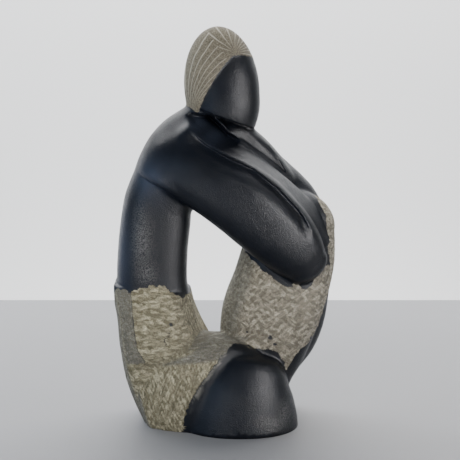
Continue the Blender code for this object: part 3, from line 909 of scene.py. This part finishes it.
relief = maths(tree, "SUBTRACT", maths(tree, "MULTIPLY", grains["Height"], 0.5),
               maths(tree, "MULTIPLY", marks[1], 0.5))
relief = maths(tree, "ADD", relief, maths(tree, "MULTIPLY", marks[0], 0.5))
bump = add(tree, "Bump", {"Height": relief, "Strength": 0.6, "Distance": 0.0005})
tree.links.new(bump.outputs["Normal"], shader.inputs["Normal"])

# %% [markdown]
# The hair is pecked to a matt cap and then combed with a sharp point. On the near side of
# the parting the lines fan out from the nape, and past it they fan out from the brow.

# %%
# The scratched hair
hair_material, tree, shader, grains = stone("combed_stone")
sweep = read(tree, "swept")
fan = read(tree, "fanned")
parting = read(tree, "parting")
where = add(tree, "TexCoord").outputs["Object"]
wander = add(tree, "TexNoise", {"Vector": where, "Scale": 35.0, "Detail": 2.0}).outputs["Fac"]


def lines(value, every, width, amount):
    """Thin lines at equal steps of a value that wanders a little."""
    moved = maths(tree, "ADD", value, maths(tree, "MULTIPLY", wander, amount))
    place = maths(tree, "PINGPONG", moved, every / 2)
    return maths(tree, "SUBTRACT", 1.0, maths(tree, "DIVIDE", place, width), clamp=True)


swept = lines(sweep, 7.2, 0.80, 8.0)
combed_line = lines(fan, 17.0, 2.4, 16.0)
past_it = add(tree, "MapRange", {"Value": parting, "From Min": -0.15, "From Max": 0.15}).outputs[0]
line = add(tree, "Mix", {"Factor": past_it, 2: swept, 3: combed_line}, data_type="FLOAT").outputs[0]
line = maths(tree, "MULTIPLY", line, read(tree, "clear"))
peck_low, peck_high = (0.085, 0.074, 0.049, 1), (0.280, 0.246, 0.176, 1)
combed_pale = (0.56, 0.52, 0.42, 1)
pecked = mixed(tree, grains["Speckle"], peck_low, peck_high)
colour = mixed(tree, maths(tree, "MULTIPLY", line, 0.8), pecked, combed_pale)
tree.links.new(colour, shader.inputs["Base Color"])
shader.inputs["Roughness"].default_value = 0.85
cut_height = maths(tree, "SUBTRACT", maths(tree, "MULTIPLY", grains["Height"], 0.4), line)
bump = add(tree, "Bump", {"Height": cut_height, "Strength": 0.6, "Distance": 0.0004})
tree.links.new(bump.outputs["Normal"], shader.inputs["Normal"])

figure.data.materials.clear()
for material in (skin_material, skirt_material, hair_material):
    figure.data.materials.append(material)
figure.data.polygons.foreach_set("material_index", slots.astype(np.int32))
figure.data.polygons.foreach_set("use_smooth", np.ones(len(slots), bool))
figure.data.update()
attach(figure, "root")
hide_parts("seated_figure")

# %% [markdown]
# The figure stands on a pale table in front of a pale wall, by a large window at the
# left. Waxed black stone shows little but what it mirrors, so the panels round it matter
# more than their brightness: a cool one behind its back, warm ones for the glints on
# arm and knee, and darkness behind the viewer. Most panels either light the dull stone or
# are mirrored in the wax, so that each finish has its own light.

# %%
# Table and wall
def slab(name, corners, colour, roughness):
    """A flat sheet that is part of the room."""
    mesh = bpy.data.meshes.new(name)
    mesh.from_pydata(corners, [], [range(len(corners))])
    sheet = bpy.data.objects.new(name, mesh)
    bpy.context.scene.collection.objects.link(sheet)
    material = bpy.data.materials.new(name)
    material.use_nodes = True
    shader = material.node_tree.nodes["Principled BSDF"]
    shader.inputs["Base Color"].default_value = colour
    shader.inputs["Roughness"].default_value = roughness
    mesh.materials.append(material)
    sheet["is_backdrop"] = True
    return sheet


TABLE_END = 0.325
TABLE_GREY = (0.26, 0.26, 0.27, 1)
TABLE_FAR_SHADE_GREY = (0.25, 0.25, 0.26, 1)
WALL_GREY = (0.72, 0.72, 0.72, 1)
table = slab("table", [(-1.6, -1.0, 0), (1.6, -1.0, 0), (1.6, TABLE_END, 0), (-1.6, TABLE_END, 0)],
             TABLE_GREY, 0.6)
tree = table.active_material.node_tree
# The last 6 cm of the table are painted a little darker: painted shade against the light that the wall lamps
# throw on its far end.
along = add(tree, "SeparateXYZ", {0: add(tree, "TexCoord").outputs["Object"]}).outputs["Y"]
far = add(tree, "MapRange", {"Value": along, "From Min": TABLE_END - 0.06, "From Max": TABLE_END}).outputs[0]
far_shaded_colour = mixed(tree, far, TABLE_GREY, TABLE_FAR_SHADE_GREY)
tree.links.new(far_shaded_colour, tree.nodes["Principled BSDF"].inputs["Base Color"])
slab("wall", [(-3, 1.4, -1.5), (3, 1.4, -1.5), (3, 1.4, 2.5), (-3, 1.4, 2.5)], WALL_GREY, 0.9)


# %%
# Light
def panel(name, place, target, size, watts, colour, lights=True, mirrored=True):
    """A soft flat light at a place, turned to a target.

    Without lights it is only mirrored in the wax. Without mirrored it only lights the dull
    stone.
    """
    data = bpy.data.lights.new(name, "AREA")
    data.shape = "RECTANGLE"
    data.size, data.size_y = size
    data.energy = watts
    data.color = colour
    lamp = bpy.data.objects.new(name, data)
    lamp.location = place
    lamp.rotation_euler = (Vector(target) - Vector(place)).to_track_quat("-Z", "Y").to_euler()
    lamp.visible_diffuse = lights
    lamp.visible_glossy = mirrored
    bpy.context.scene.collection.objects.link(lamp)


FIGURE_MIDDLE = (0, 0, 0.12)
WINDOW, WINDOW_SIZE = (-1.1, 0.3, 0.6), (1.5, 1.3)
GLINT_WHITE = (1.0, 0.97, 0.94)
panel("window", WINDOW, FIGURE_MIDDLE, WINDOW_SIZE, 9, (0.62, 0.80, 1.0), mirrored=False)
panel("window_sheen", WINDOW, FIGURE_MIDDLE, WINDOW_SIZE, 4.0, (0.46, 0.67, 1.0), lights=False)
panel("ceiling", (0.5, 0.5, 1.2), FIGURE_MIDDLE, (1.8, 1.4), 5, (1.0, 0.98, 0.96), mirrored=False)
panel("room_fill", (-0.35, -1.2, 0.75), FIGURE_MIDDLE, (1.2, 1.0), 15, (1.0, 0.98, 0.95), mirrored=False)
panel("left_sheen", (-0.62, -0.62, 0.16), FIGURE_MIDDLE, (0.5, 0.36), 2.2, (0.52, 0.72, 1.0), lights=False)
panel("right_glint", (0.37, -0.26, 0.21), FIGURE_MIDDLE, (0.14, 0.18), 3.6, GLINT_WHITE, lights=False)
panel("low_glint", (0.25, -0.37, 0.02), FIGURE_MIDDLE, (0.12, 0.06), 2.0, GLINT_WHITE, lights=False)
panel("left_glint", (-0.13, -0.40, 0.03), FIGURE_MIDDLE, (0.07, 0.06), 0.4, GLINT_WHITE, lights=False)
panel("wall_wash", (0, 0.75, 1.3), (0, 1.4, 0.25), (2.6, 0.5), 85, (1.0, 1.0, 1.0))
panel("wall_glow", (0, 0.9, -0.6), (0, 1.4, 0.05), (1.4, 0.3), 14, (1.0, 1.0, 1.0))
world = bpy.data.worlds.new("room")
world.use_nodes = True
world.node_tree.nodes["Background"].inputs["Color"].default_value = (0.62, 0.78, 1.0, 1)
world.node_tree.nodes["Background"].inputs["Strength"].default_value = 0.08
bpy.context.scene.world = world

# %%
# Bring the scene up to date
bpy.context.view_layer.update()
